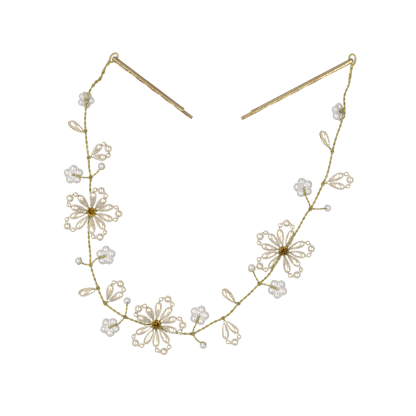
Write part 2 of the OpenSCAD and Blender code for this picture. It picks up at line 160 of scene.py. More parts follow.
# Short wires that show beside the first and the last blossom
TIE_WIRES = (
    ((-58.6, 51.2, 4.7), (-59.4, 52.4, 4.6), (-60.4, 52.8, 4.1), (-61.1, 52.3, 3.5)),
    ((-59, 50.2, 4.8), (-59.7, 49.4, 4.5), (-59.6, 48.5, 4.4), (-59, 47.4, 4.7)),
    ((61.9, 43.6, 5.6), (62.6, 44.3, 5.5), (63.6, 44.6, 5)),
)
# Sprigs: joint, where the lines of the two drops meet, direction and lift
SPRIGS = (
    ("sprig_1", (-57.9, 21.7, 2), 21, 34),
    ("sprig_2", (-50, -48.5, 2), 54, 14),
    ("sprig_3", (6.3, -55.8, 2), -64, 6),
    ("sprig_4", (54.8, 9.3, 2), 7, 18),
)
# Leaves: joint, narrow end of the pearl, its direction, and the side that the wire comes back on
LEAVES = (
    ("leaf_1", (-61.3, 34.3), 143.5, 1),
    ("leaf_2", (-55.4, -42), 196, -1),
    ("leaf_3", (11.2, -47.8), 134, -1),
    ("leaf_4", (56.8, 27.1), 113.5, 1),
)
# Buds: fork, bend of the twig, middle of the pearl, and the wires that lie on it. Each wire is a list of
# places on the pearl, as the turn from the twig's side and the height above its middle, in degrees
BUDS = (
    ("fork_1", (-54.5, 14.3), (-52.3, 17.5), (((0, 0), (40, 20), (75, 25), (105, 15)),)),
    ("fork_2", (-60.5, -29.6), (-63.3, -28), (((90, 15), (50, 35), (0, 20), (-40, 30), (-70, 10)),)),
    ("fork_3", (-40.3, -51.5), (-40, -47.2), (((0, 0), (12, 40), (30, 75)),)),
    ("fork_4", (-7, -65.5), (-3.5, -68.5), (((0, 0), (-30, 20), (-70, 30), (-105, 35), (-110, 65)),)),
    ("fork_5", (21.5, -35.5), (19.7, -31.3), (((0, 0), (-40, 15), (-85, 15)), ((0, 10), (40, 20), (80, 25)))),
    ("fork_6", (52, -3.1), (56.2, -2.7), (((0, 0), (5, 40), (10, 80)),)),
)
# Blossoms: middle, direction of the valley that the twig crosses, sideways turn of the face, joint, bend of
# the twig, and size
BLOSSOMS = (
    ((-59.8, 49.2), 28, 0, "tie_1", None, 0.86),
    ((-65.8, 13.4), -18, 0, "fork_1", (-59.5, 11.9), 1),
    ((-50.2, -25.5), 198, 0, "fork_2", (-56.3, -28.7), 1),
    ((-48.3, -59.8), 21, 0, "fork_3", (-42.6, -56.7), 1),
    ((-5.4, -54.1), 249, 0, "fork_4", (-8.1, -60.7), 1),
    ((32.2, -41.5), 158, 0, "fork_5", (25.7, -39.2), 1),
    ((44.5, 7.2), 284, 0, "fork_6", (47.3, -0.5), 1),
    ((61.2, 43.2), -23, 45, "tie_8", None, 0.94),
)
# Pins: outside of the bend, direction, roll about its length, length
PINS = {
    "left": ((-47.2, 69.2), -36.7, -20, 47.8),
    "right": ((68.6, 68.3), 207.5, 12, 60.6),
}


def linear(code):
    """An sRGB hex colour as linear red, green, blue and alpha."""
    parts = [int(code[i:i + 2], 16) / 255 for i in (1, 3, 5)]
    return tuple(p / 12.92 if p <= 0.04045 else ((p + 0.055) / 1.055) ** 2.4 for p in parts) + (1.0,)


def length_property(name, description, millimetres):
    return FloatProperty(
        name=name, description=description, default=millimetres * MM, min=0, unit="LENGTH", precision=5
    )


def colour_property(name, description, code):
    return FloatVectorProperty(
        name=name, description=description, default=linear(code), min=0, max=1, size=4, subtype="COLOR"
    )


class BeadSizes(bpy.types.PropertyGroup):
    drop_length: length_property("Drop length", "Length of a long teardrop pearl", 7.8)
    drop_radius: length_property("Drop radius", "Widest radius of a teardrop pearl", 1.8)
    drop_end: length_property("Drop end", "Radius of the narrow end", 0.42)
    drop_taper: FloatProperty(
        name="Drop taper", description="How far the widest place lies from the middle",
        default=0.45, min=0, max=0.9,
    )
    big_radius: length_property("Big pearl", "Radius of the pearl at a petal's tip", 1.9)
    small_radius: length_property("Small pearl", "Radius of the pearls beside it", 1.25)
    bud_radius: length_property("Bud", "Radius of a single pearl on a twig", 1.78)
    bore_radius: length_property("Bore", "Radius of the hole through a pearl", 0.34)
    segments: IntProperty(name="Segments", description="Sides of a pearl", default=36, min=12, max=64)


class BlossomSizes(bpy.types.PropertyGroup):
    lobe_ring: length_property("Lobe ring", "Distance of each lobe from the middle", 2.8)
    lobe_radius: length_property("Lobe radius", "Radius of one lobe, across the blossom", 2.05)
    lobe_height: length_property("Lobe height", "Half the thickness of one lobe", 1.85)
    disc_radius: length_property("Disc radius", "Radius of the disc in the middle", 2.4)
    disc_height: length_property("Disc height", "Thickness of the disc", 2.4)
    web_radius: length_property("Web radius", "How far the web between the lobes reaches", 3.95)
    web_height: length_property("Web height", "Thickness of the web", 1.6)
    hole_radius: length_property("Hole", "Radius of the hole in the middle", 0.5)
    grain_radius: length_property("Grain", "Radius of the moulded grains round the hole", 0.36)


class WireSizes(bpy.types.PropertyGroup):
    stem_strand: length_property("Stem strand", "Radius of one of the stem's two wires", 0.31)
    twig_strand: length_property("Twig strand", "Radius of one of a twig's two wires", 0.25)
    twist_pitch: length_property("Twist pitch", "Length of one full turn of the pair", 4.6)
    thread_radius: length_property("Thread", "Radius of the wire that strings the pearls", 0.2)
    ring_radius: length_property("Ring wire", "Radius of the wire in the end rings", 0.47)
    wrap_radius: length_property("Wrap wire", "Radius of the wire wrapped round a joint", 0.2)
    nest_radius: length_property("Nest wire", "Radius of the coiled wire in a flower's middle", 0.27)


class PinSizes(bpy.types.PropertyGroup):
    strip_width: length_property("Strip width", "Width of the bent strip", 1.8)
    strip_height: length_property("Strip thickness", "Thickness of the bent strip", 0.5)
    dome_height: length_property("Dome", "How far the strip's middle stands out from its edges", 0.2)
    leg_gap: length_property("Leg gap", "Clear gap between the legs at the bend", 1.4)
    short_leg: length_property("Short leg", "How much shorter the upper leg is", 5.5)
    crimp_height: length_property("Crimp height", "Height of the waves in the lower leg", 0.6)


class Finishes(bpy.types.PropertyGroup):
    ivory: colour_property("Ivory", "Pearl coating of petals, sprigs and leaves", "#c6bba9")
    ivory_shade: colour_property("Ivory shade", "Thicker places of that coating", "#b9ac95")
    white: colour_property("White", "Pearl coating of blossoms and buds", "#b7b3af")
    white_shade: colour_property("White shade", "Thicker places of that coating", "#a8a4a0")
    wire: colour_property("Wire", "Lacquered brass wire", "#aea15e")
    wire_shade: colour_property("Wire shade", "Lacquer where it has pooled", "#8d7e3d")
    nest: colour_property("Nest", "Deep gold wire of the flower centres", "#9f7c2e")
    # Painted shade: the dark second colour of the nest wire stands for the shade in the nest's hollows,
    # though it lies in random patches
    nest_painted_shade: colour_property("Nest shade", "Painted shade of the hollows in the nest", "#5c4011")
    pin: colour_property("Pin", "Pale gold plating of the pins", "#c0ac84")
    pin_shade: colour_property("Pin shade", "Worn plating of the pins", "#a58d60")


# Routes
def placed(point):
    """A place of the layout, in metres in the frame."""
    return (Vector(point) + CENTRING) * MM


def joint(name):
    return placed(JOINTS[name])


def at_height(point, height):
    return placed((*point[:2], height))


def flat(angle):
    """The level direction at an angle, in radians."""
    return Vector((cos(angle), sin(angle), 0))


def shares(steps):
    """The numbers from 0 to 1 in even steps."""
    return [i / steps for i in range(steps + 1)]


def smooth_route(points, pieces=8):
    """A rounded way through the points."""
    last = len(points) - 1
    route = []
    for i in range(last):
        before, start, end, after = (points[min(max(i + k, 0), last)] for k in (-1, 0, 1, 2))
        leave, arrive = start + (end - before) / 6, end - (after - start) / 6
        route += interpolate_bezier(start, leave, arrive, end, pieces)[:-1]
    return route + [points[-1]]


def even_route(route, step):
    """The same way, with points an even step apart."""
    result = [route[0]]
    left = step
    for start, end in zip(route, route[1:]):
        span = (end - start).length
        done = 0
        while span - done >= left:
            done += left
            result.append(start.lerp(end, done / span))
            left = step
        left -= span - done
    result.append(route[-1])
    return result


def direction_at(route, i):
    return (route[min(i + 1, len(route) - 1)] - route[max(i - 1, 0)]).normalized()


def frames_along(route):
    """Place, sideways direction, upward direction and length so far at each point, without twist."""
    steep = abs(direction_at(route, 0).z) > 0.9
    side = Vector((1, 0, 0)) if steep else Vector((0, 0, 1))
    gone = 0
    for i, here in enumerate(route):
        along = direction_at(route, i)
        side = (side - along * side.dot(along)).normalized()
        if i:
            gone += (here - route[i - 1]).length
        yield here, side, along.cross(side), gone


def twisted(route, offset, pitch, turn=0.0):
    """The ways of two wires twisted round the route."""
    ways = [], []
    for here, side, up, gone in frames_along(route):
        for k, way in enumerate(ways):
            angle = turn + tau * (gone / pitch + k / 2)
            way.append(here + offset * (cos(angle) * side + sin(angle) * up))
    return ways


def wrap_route(middle, direction, radius, turns, length):
    """A wire wound round an axis, with its ends tucked in."""
    turn = turned(direction)
    way = []
    for part in shares(int(turns * 14)):
        angle = tau * turns * part
        reach = radius * (0.8 + 0.2 * min(1, 6 * min(part, 1 - part)))
        place = Vector(((part - 0.5) * length, reach * cos(angle), reach * sin(angle)))
        way.append(middle + turn @ place)
    return way


def way_through(points):
    """A rounded way through points of the layout."""
    return smooth_route([placed(p) for p in points])


class WireWork:
    """Collects wires of several thicknesses and turns them into one mesh."""

    def __init__(self, name):
        self.data = bpy.data.curves.new(name, "CURVE")
        self.data.dimensions = "3D"
        self.data.bevel_depth = MM
        self.data.bevel_resolution = 2
        self.data.use_fill_caps = True

    def add(self, route, radius, closed=False):
        spline = self.data.splines.new("POLY")
        spline.points.add(len(route) - 1)
        for point, place in zip(spline.points, route):
            point.co = (*place, 1)
            point.radius = radius / MM
        spline.use_cyclic_u = closed

    def add_pair(self, route, strand, pitch, turn=0.0):
        for way in twisted(even_route(route, pitch / 12), PAIR_OFFSET * strand, pitch, turn):
            self.add(way, strand)

    def mesh(self):
        mesh = applied(self.data)
        bpy.data.curves.remove(self.data)
        return mesh


# Pieces
def add_object(name, data):
    thing = bpy.data.objects.new(name, data)
    bpy.context.collection.objects.link(thing)
    return thing


def show(name, mesh, slot, *nodes):
    """Puts a finished mesh in the scene in place of the CAD nodes, with the material of its slot."""
    mesh.name = name
    mesh.materials.clear()
    mesh.materials.append(finish_of(slot))
    mesh.shade_smooth()
    mesh.set_sharp_from_angle(angle=radians(40))
    piece = add_object(name, mesh)
    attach(piece, "root")
    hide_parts(*nodes)


def mesh_of(bm, name):
    mesh = bpy.data.meshes.new(name)
    bm.to_mesh(mesh)
    bm.free()
    return mesh


def applied(data, *modifiers):
    """The mesh of a shape's data, with (kind, settings) modifiers applied to it."""
    shape = add_object("shape", data)
    for kind, settings in modifiers:
        modifier = shape.modifiers.new(kind.title(), kind)
        for key, value in settings.items():
            setattr(modifier, key, value)
    graph = bpy.context.evaluated_depsgraph_get()
    mesh = bpy.data.meshes.new_from_object(shape.evaluated_get(graph))
    bpy.data.objects.remove(shape)
    return mesh


def spun_bead(name, outline, bore, segments):
    """A drilled bead: the outline of one side spun round the x axis, with the wall of its bore."""
    bm = bmesh.new()
    start, end = outline[0][0], outline[-1][0]
    rim = [(start, bore), *outline, (end, bore)]
    verts = [bm.verts.new((x, 0, r)) for x, r in rim]
    edges = [bm.edges.new(pair) for pair in zip(verts, verts[1:] + verts[:1])]
    bmesh.ops.spin(bm, geom=verts + edges, axis=(1, 0, 0), angle=tau, steps=segments, use_merge=True)
    bmesh.ops.remove_doubles(bm, verts=bm.verts, dist=1e-7)
    bmesh.ops.recalc_face_normals(bm, faces=bm.faces)
    return mesh_of(bm, name)


def round_outline(radius, bore):
    """Outline of a round pearl, from the rim of its bore to the other rim."""
    start = asin(min(1, (bore + 0.06 * MM) / radius))
    angles = [start + (pi - 2 * start) * part for part in shares(18)]
    return [(-radius * cos(a), radius * sin(a)) for a in angles]


def drop_outline(sizes):
    """Outline of a teardrop pearl, from its narrow end at the origin along +x."""
    def shape(angle):
        return sin(angle) * (1 - sizes.drop_taper * cos(angle))

    peak = max(shape(radians(a)) for a in range(0, 180, 2))
    outline = []
    for part in shares(24):
        width = sizes.drop_end + (sizes.drop_radius - sizes.drop_end) * shape(pi * part) / peak
        outline.append((sizes.drop_length * (1 - cos(pi * part)) / 2, width))
    return outline


def coil_middle(middle, wires):
    """Where the coil of a flower starts: just above the stem that ends in it."""
    foot = max(middle[2] + 0.5, BEAD_LEVEL + 0.18) + wires.nest_radius / MM + 0.22
    return Vector((*middle[:2], foot))


def add_copy(bm, mesh, place):
    """Adds a copy of the mesh, moved to its place."""
    known = len(bm.verts)
    bm.from_mesh(mesh)
    bm.verts.ensure_lookup_table()
    bmesh.ops.transform(bm, matrix=place, verts=bm.verts[known:])


def turned(angle, axis="Z"):
    return Matrix.Rotation(radians(angle), 4, axis)


def shift(x, y=0.0, z=0.0):
    return Matrix.Translation(Vector((x, y, z)) * MM)


def lying(point, level, turn):
    """Where a piece lies: its x axis points in the direction of the turn."""
    return Matrix.Translation(at_height(point, level)) @ turned(turn)


def petal_place(middle, turn, lift, hinge):
    """Where a petal's own plane lies: x runs out along the petal, and it tilts about a line at the hinge."""
    tilt = shift(hinge) @ turned(-lift, "Y") @ shift(-hinge)
    return Matrix.Translation(placed(middle)) @ turned(turn) @ tilt


def petal_measures(start, drop_length):
    """Splay of the drops in degrees, and x of the small pearls and of the big pearl, in millimetres."""
    reach = start + drop_length / MM
    splay = asin(HALF_SPREAD / reach)
    small_x = reach * cos(splay) + SMALL_AHEAD
    return degrees(splay), small_x, small_x + BIG_AHEAD


def smaller(chance, least):
    """A scale between the least one and almost full size."""
    return Matrix.Scale(chance.uniform(least, 0.995), 4)


def show_petal(name, start, place, beads, sizes, chance):
    """Shows two drops, two small pearls and a big one, each a little different in size."""
    splay, small_x, big_x = petal_measures(start, sizes.drop_length)
    bm = bmesh.new()
    for side in (-1, 1):
        drop = turned(side * (splay + chance.uniform(-0.5, 0.5))) @ shift(start)
        add_copy(bm, beads["drop"], place @ drop @ smaller(chance, 0.965))
        small = shift(small_x, side * SMALL_ASIDE) @ turned(side * SMALL_HEADING)
        add_copy(bm, beads["small"], place @ small @ smaller(chance, 0.955))
    add_copy(bm, beads["big"], place @ shift(big_x) @ turned(90) @ smaller(chance, 0.965))
    show(f"{name}_pearls", mesh_of(bm, name), "ivory_pearl", name)


def petal_loop(start, inner, sizes):
    """The thread's way round a petal, in its own plane: along one drop, through three pearls and back."""
    splay, small_x, big_x = petal_measures(start, sizes.drop_length)
    drop = flat(radians(splay))
    small = 0.96 * sizes.small_radius / MM * flat(radians(SMALL_HEADING))
    half = [
        inner * drop,
        (start + sizes.drop_length / MM + 0.1) * drop,
        Vector((small_x, SMALL_ASIDE, 0)) - small,
        Vector((small_x, SMALL_ASIDE, 0)) + small,
        Vector((big_x, 0.96 * sizes.big_radius / MM, 0)),
    ]
    return [Vector((p.x, -p.y, 0)) * MM for p in half] + [p * MM for p in reversed(half)]


def show_copy(template, place, name, part, slot):
    """Shows a copy of a template mesh, moved to its place."""
    bm = bmesh.new()
    add_copy(bm, template, place)
    show(f"{name}_{part}", mesh_of(bm, name), slot, name)


# Materials
def add_node(tree, kind, links=(), **settings):
    """Adds a node, sets its properties and sockets, and links it."""
    node = tree.nodes.new(kind)
    for key, value in settings.items():
        setattr(node, key, value)
    for socket, value in dict(links).items():
        if isinstance(value, bpy.types.NodeSocket):
            tree.links.new(value, node.inputs[socket])
        else:
            node.inputs[socket].default_value = value
    return node


def new_material(name):
    material = bpy.data.materials.new(name)
    material.use_nodes = True
    material.node_tree.nodes.clear()
    return material, material.node_tree


def add_surface(tree, sockets):
    surface = add_node(tree, "ShaderNodeBsdfPrincipled", sockets)
    add_node(tree, "ShaderNodeOutputMaterial", {"Surface": surface.outputs["BSDF"]})


def noise(tree, size_mm, detail):
    """Noise on the object with patches of about the given size."""
    coords = add_node(tree, "ShaderNodeTexCoord")
    return add_node(tree, "ShaderNodeTexNoise", {
        "Vector": coords.outputs["Object"], "Scale": 1 / (size_mm * MM), "Detail": detail,
    }).outputs["Fac"]


def patchy(tree, size_mm, detail, low, high, first, second):
    """How far each patch has gone from the first colour to the second, and its colour."""
    gone = add_node(tree, "ShaderNodeMapRange", {
        "Value": noise(tree, size_mm, detail), "From Min": low, "From Max": high,
    }).outputs["Result"]
    # The node's colour sockets are 6, 7 and, on the other side, 2
    mix = add_node(tree, "ShaderNodeMix", {0: gone, 6: first, 7: second}, data_type="RGBA")
    return gone, mix.outputs[2]


def uneven(tree, size_mm, detail, strength, depth_mm):
    """The normal of a surface with bumps of about the given size."""
    return add_node(tree, "ShaderNodeBump", {
        "Height": noise(tree, size_mm, detail), "Strength": strength, "Distance": depth_mm * MM,
    }).outputs["Normal"]


def pearl_coating(name, colour, shade, metallic, roughness, coat, coat_roughness, bumps):
    """Imitation pearl: moulded ABS dipped in lacquer, which gives a soft inner lustre under a clear gloss and
    varies in thickness over each bead."""
    material, tree = new_material(name)
    add_surface(tree, {
        "Base Color": patchy(tree, 2.5, 2, 0.35, 0.75, colour, shade)[1],
        "Metallic": metallic, "Roughness": roughness, "IOR": 1.54, "Specular IOR Level": 0.75,
        "Subsurface Weight": 0.12, "Subsurface Radius": (1.0, 0.8, 0.6), "Subsurface Scale": 0.7 * MM,
        "Coat Weight": coat, "Coat Roughness": coat_roughness, "Coat IOR": 2.0,
        # Runs in the lacquer, which soften the highlights
        "Normal": uneven(tree, 0.9, 1, bumps, 0.05),
    })
    return material


def lacquered_metal(name, colour, shade, patch_mm, detail, roughness, grain_mm, depth):
    """Drawn or plated metal under clear lacquer: bright highlights, darker in random patches, which are
    pooled lacquer on the wire, worn plating on the pins and painted shade on the nest.
    """
    material, tree = new_material(name)
    # The darker patches are pooled lacquer on the wire, worn plating on the pins and painted shade of the
    # hollows on the nest
    pooling_wear_and_shade, tint = patchy(tree, patch_mm, detail, 0.42, 0.72, colour, shade)
    rough = add_node(tree, "ShaderNodeMapRange", {
        "Value": pooling_wear_and_shade, "To Min": roughness, "To Max": roughness + 0.14,
    })
    add_surface(tree, {
        "Base Color": tint, "Metallic": 0.9, "Roughness": rough.outputs["Result"],
        "Normal": uneven(tree, grain_mm, 2, depth, 0.03),
    })
    return material


def finish_of(slot):
    """The material of a slot, made when it is first needed."""
    look = bpy.context.scene.vine_finishes
    name, make, colour, shade, settings = {
        "ivory_pearl": ("ABS pearl, ivory lacquer", pearl_coating, look.ivory, look.ivory_shade, {
            "metallic": 0.25, "roughness": 0.3, "coat": 1.0, "coat_roughness": 0.07, "bumps": 0.01,
        }),
        "white_pearl": ("ABS pearl, white lacquer", pearl_coating, look.white, look.white_shade, {
            "metallic": 0.0, "roughness": 0.5, "coat": 0.5, "coat_roughness": 0.2, "bumps": 0.04,
        }),
        "gold_wire": ("Brass wire, gold lacquer", lacquered_metal, look.wire, look.wire_shade, {
            "patch_mm": 1.6, "detail": 3, "roughness": 0.58, "grain_mm": 0.25, "depth": 0.2,
        }),
        # Its second colour is painted shade of the nest's hollows
        "dark_gold_wire": ("Brass wire, deep gold lacquer", lacquered_metal, look.nest, look.nest_painted_shade, {
            "patch_mm": 0.9, "detail": 3, "roughness": 0.33, "grain_mm": 0.25, "depth": 0.25,
        }),
        "pin_metal": ("Spring steel, pale gold plate", lacquered_metal, look.pin, look.pin_shade, {
            "patch_mm": 9.0, "detail": 0, "roughness": 0.24, "grain_mm": 3.0, "depth": 0.0,
        }),
    }[slot]
    return bpy.data.materials.get(name) or make(name, colour, shade, **settings)


def bead_templates(context):
    sizes = context.scene.vine_beads
    bore = sizes.bore_radius
    outlines = {"drop": drop_outline(sizes)}
    for kind in ("small", "big", "bud"):
        outlines[kind] = round_outline(getattr(sizes, f"{kind}_radius"), bore)
    return {kind: spun_bead(kind, outline, bore, sizes.segments) for kind, outline in outlines.items()}


# Operators
class HAIRVINE_OT_petals(bpy.types.Operator):
    """Five petals round each flower, each of two drops and three round pearls"""

    bl_idname = "hairvine.petals"
    bl_label = "Flower petals"

    def execute(self, context):
        beads = bead_templates(context)
        chance = random.Random(11)
        for flower, (middle, petals) in FLOWERS.items():
            middle = (*middle[:2], BEAD_LEVEL)
            for i, (turn, lift) in enumerate(petals, 1):
                name = f"flower_{flower}_petal_{i}"
                place = petal_place(middle, turn, lift, HINGE)
                show_petal(name, PETAL_HUB, place, beads, context.scene.vine_beads, chance)
        return {"FINISHED"}


class HAIRVINE_OT_sprigs(bpy.types.Operator):
    """Single petals on the stem"""

    bl_idname = "hairvine.sprigs"
    bl_label = "Sprigs"

    def execute(self, context):
        beads = bead_templates(context)
        chance = random.Random(12)
        for i, (_, middle, turn, lift) in enumerate(SPRIGS, 1):
            place = petal_place(middle, turn, lift, 0)
            show_petal(f"sprig_{i}", SPRIG_HUB, place, beads, context.scene.vine_beads, chance)
        return {"FINISHED"}


class HAIRVINE_OT_leaves(bpy.types.Operator):
    """Single teardrop pearls on the stem"""

    bl_idname = "hairvine.leaves"
    bl_label = "Leaves"

    def execute(self, context):
        drop = bead_templates(context)["drop"]
        for i, (_, start, turn, _) in enumerate(LEAVES, 1):
            show_copy(drop, lying(start, TWIG_LEVEL, turn), f"leaf_{i}", "pearl", "ivory_pearl")
        return {"FINISHED"}


class HAIRVINE_OT_buds(bpy.types.Operator):
    """Single round pearls at the ends of twigs"""

    bl_idname = "hairvine.buds"
    bl_label = "Buds"

    def execute(self, context):
        pearl = bead_templates(context)["bud"]
        for i, (_, bend, middle, _) in enumerate(BUDS, 1):
            heading = degrees(atan2(middle[1] - bend[1], middle[0] - bend[0]))
            show_copy(pearl, lying(middle, TWIG_LEVEL, heading), f"bud_{i}", "pearl", "white_pearl")
        return {"FINISHED"}


def blossom_height(turn, sizes):
    return sizes.lobe_height / MM + TURNED_RISE * sin(radians(turn))


def add_disc(bm, radius, height, sides=48):
    bmesh.ops.create_cone(bm, cap_ends=True, segments=sides, radius1=radius, radius2=radius, depth=height)


def blossom_template(sizes):
    """Five lobes moulded round a disc with a hole, shaped in millimetres for the remesh's voxel size."""
    lobe_ring, lobe_radius = sizes.lobe_ring / MM, sizes.lobe_radius / MM
    disc_height = sizes.disc_height / MM
    flattened = Matrix.Scale(sizes.lobe_height / sizes.lobe_radius, 4, (0, 0, 1))
    bm = bmesh.new()
    for k in range(5):
        lobe = turned(36 + 72 * k) @ Matrix.Translation((lobe_ring, 0, 0)) @ flattened
        bmesh.ops.create_icosphere(bm, subdivisions=4, radius=lobe_radius, matrix=lobe)
    add_disc(bm, sizes.disc_radius / MM, disc_height)
    add_disc(bm, sizes.web_radius / MM, sizes.web_height / MM)
    for height in (0.05 - disc_height / 2, disc_height / 2 - 0.05):
        for k in range(GRAINS):
            place = turned(360 / GRAINS * k) @ Matrix.Translation((GRAIN_RING, 0, height))
            bmesh.ops.create_icosphere(bm, subdivisions=2, radius=sizes.grain_radius / MM, matrix=place)
    solid = applied(mesh_of(bm, "blossom"), ("REMESH", {"mode": "VOXEL", "voxel_size": BLOSSOM_VOXEL}))
    cut = bmesh.new()
    add_disc(cut, sizes.hole_radius / MM, 6, 32)
    cutter = add_object("drill", mesh_of(cut, "drill"))
    drilled = applied(
        solid,
        ("BOOLEAN", {"operation": "DIFFERENCE", "object": cutter, "solver": "EXACT"}),
        ("SMOOTH", {"factor": 0.5, "iterations": 14}),
    )
    bpy.data.objects.remove(cutter)
    drilled.transform(Matrix.Scale(MM, 4))
    return drilled


class HAIRVINE_OT_blossoms(bpy.types.Operator):
    """Small moulded blossoms with five lobes"""

    bl_idname = "hairvine.blossoms"
    bl_label = "Blossoms"

    def execute(self, context):
        sizes = context.scene.vine_blossoms
        template = blossom_template(sizes)
        for i, (middle, valley, turn, _, _, size) in enumerate(BLOSSOMS, 1):
            centre = at_height(middle, blossom_height(turn, sizes))
            place = Matrix.Translation(centre) @ turned(turn, "Y") @ turned(valley)
            show_copy(template, place @ Matrix.Scale(size, 4), f"blossom_{i}", "lobes", "white_pearl")
        return {"FINISHED"}


class HAIRVINE_OT_vine(bpy.types.Operator):
    """The twisted stem with its twigs, threads, wrapped joints and end rings"""

    bl_idname = "hairvine.vine"
    bl_label = "Vine wire"

    def execute(self, context):
        scene = context.scene
        wires = scene.vine_wires
        work = WireWork("vine")
        chance = random.Random(21)
        self.add_stem(work, wires, chance)
        self.add_threads(work, wires, scene.vine_beads)
        self.add_buds(work, wires, scene.vine_beads, chance)
        self.add_blossom_twigs(work, wires, scene.vine_blossoms, chance)
        for route in TIE_WIRES:
            work.add(way_through(route), wires.thread_radius)
        show("vine_wirework", work.mesh(), "gold_wire", "vine_wire")
        return {"FINISHED"}

    def add_stem(self, work, wires, chance):
        stem = smooth_route([joint(p) if isinstance(p, str) else placed(p) for p in STEM])
        work.add_pair(stem, wires.stem_strand, wires.twist_pitch)
        for ring in RINGS:
            work.add(way_through(ring), wires.ring_radius)
        reach = 1.9 * wires.stem_strand + wires.wrap_radius
        for name, direction in WRAPS.items():
            turns = chance.choice((3, 3.5, 4))
            heading = direction + chance.uniform(-8, 8)
            length = 2.1 * turns * wires.wrap_radius
            work.add(wrap_route(joint(name), heading, reach, turns, length), wires.wrap_radius)
        for part, direction in WRAPPED_SPOTS:
            wrap = wrap_route(placed(part), direction, 0.85 * reach, 2, 0.9 * MM)
            work.add(wrap, wires.wrap_radius)
        for tail in TAILS:
            route = even_route(way_through(tail), 0.3 * MM)
            for way in twisted(route, offset=0.4 * MM, pitch=9 * MM, turn=0.8):
                work.add(way, wires.stem_strand)

    def add_threads(self, work, wires, beads):
        thread = wires.thread_radius
        for name, middle, turn, lift in SPRIGS:
            place = petal_place(middle, turn, lift, 0)
            work.add([place @ p for p in petal_loop(SPRIG_HUB, SPRIG_STUB - 0.18, beads)], thread)
            stub = [joint(name), place @ Vector((SPRIG_STUB * MM, 0, 0))]
            work.add_pair(stub, wires.twig_strand, SHORT_TWIST * MM)
        clear = beads.drop_radius / MM + 0.2
        long = beads.drop_length / MM
        for name, start, turn, side in LEAVES:
            place = lying(start, TWIG_LEVEL, turn)
            # Through the pearl, round its wide end and back beside it
            way = [
                (-0.6, 0), (0.4 * long, 0), (long - 0.4, 0), (long + 0.25, 0.3), (long - 0.15, 1.25),
                (0.84 * long, 0.93 * clear), (0.62 * long, clear), (0.4 * long, 0.93 * clear),
                (0.18 * long, 0.7 * clear), (0, 0.68), (-0.8, 0.4),
            ]
            route = smooth_route([place @ (Vector((x, y * side, 0)) * MM) for x, y in way])
            work.add(route, thread)
            stub = [joint(name), place @ (Vector((-0.5, 0.15 * side, 0)) * MM)]
            work.add_pair(stub, wires.twig_strand, SHORT_TWIST * MM)

    def add_buds(self, work, wires, beads, chance):
        reach = beads.bud_radius + 0.7 * wires.thread_radius
        for name, bend, middle, lays in BUDS:
            turn = atan2(middle[1] - bend[1], middle[0] - bend[0])
            centre = at_height(middle, TWIG_LEVEL)
            foot = centre - (beads.bud_radius + 0.3 * MM) * flat(turn)
            twig = smooth_route([joint(name), at_height(bend, TWIG_LEVEL), foot])
            work.add_pair(twig, wires.twig_strand, TWIG_TWIST * wires.twist_pitch, chance.uniform(0, 6))
            work.add([foot, centre], wires.thread_radius)
            for lay in lays:
                route = []
                for side, up in lay:
                    across, height = turn + pi + radians(side), radians(up)
                    out = (cos(across) * cos(height), sin(across) * cos(height), sin(height))
                    route.append(centre + reach * Vector(out))
                # A wire that starts on the twig's side comes out of the twig
                if lay[0][0] == 0:
                    route = [foot] + route
                work.add(smooth_route(route, 6), 1.15 * wires.thread_radius)

    def add_blossom_twigs(self, work, wires, blossoms, chance):
        face = blossoms.disc_height / MM / 2 + 0.57
        for middle, valley, turn, name, bend, _ in BLOSSOMS:
            centre = at_height(middle, blossom_height(turn, blossoms))
            out = turned(turn, "Y") @ Vector((0, 0, 1))
            along = flat(radians(valley))
            top = centre + face * MM * out
            points = [joint(name)]
            if bend:
                points.append(at_height(bend, CROSSING_LEVEL))
                points += [top + reach * MM * along for reach in (4.4, 2.8, 1.3)]
            twig = smooth_route(points + [top])
            work.add_pair(twig, wires.twig_strand, TWIG_TWIST * wires.twist_pitch, chance.uniform(0, 6))
            work.add([top + 0.18 * MM * out, centre - (face - 0.8) * MM * out], 0.23 * MM)


class HAIRVINE_OT_threads(bpy.types.Operator):
    """The thin wire that strings each flower's petals, with its turns round the hub"""

    bl_idname = "hairvine.threads"
    bl_label = "Flower threads"

    def execute(self, context):
        wires = context.scene.vine_wires
        beads = context.scene.vine_beads
        chance = random.Random(31)
        splay, _, _ = petal_measures(PETAL_HUB, beads.drop_length)
        for flower, (middle, petals) in FLOWERS.items():
            hub = (*middle[:2], BEAD_LEVEL)
            work = WireWork(flower)
            loop = petal_loop(PETAL_HUB, THREAD_RING, beads)
            route = []
            for turn, lift in petals:
                place = petal_place(hub, turn, lift, HINGE)
                route += [place @ p for p in loop]
            work.add(route, wires.thread_radius, closed=True)
            self.add_crown(work, coil_middle(middle, wires), petals, splay, wires, chance)
            name = f"flower_{flower}_thread"
            show(f"{name}_wire", work.mesh(), "gold_wire", name)
        return {"FINISHED"}

    def add_crown(self, work, hub, petals, splay, wires, chance):
        """Small arches from the coil out to the gap beside each teardrop, where the wire was pulled tight.
        They rise with the petal."""
        for turn, lift in petals:
            rise = tan(radians(lift))
            for side in (-1, 1):
                angle = radians(turn + side * splay + chance.uniform(-6, 6))
                out = flat(angle)
                across = Vector((-out.y, out.x, 0)) * chance.uniform(0.25, 0.4)
                far = chance.uniform(2.7, 3.1)
                way = (
                    (1.75, 1, -1), (2.3, 0.85, -1.1), (far, 0.25, -0.5), (far, 0.2, 0.5), (2.2, 0.8, 1.1),
                    (1.7, 1, 1),
                )
                route = []
                for reach, up, swing in way:
                    height = Vector((0, 0, up - 0.2 + (reach - 1.5) * rise))
                    route.append(placed(hub + reach * out + swing * across + height))
                work.add(smooth_route(route, 4), 1.2 * wires.thread_radius)


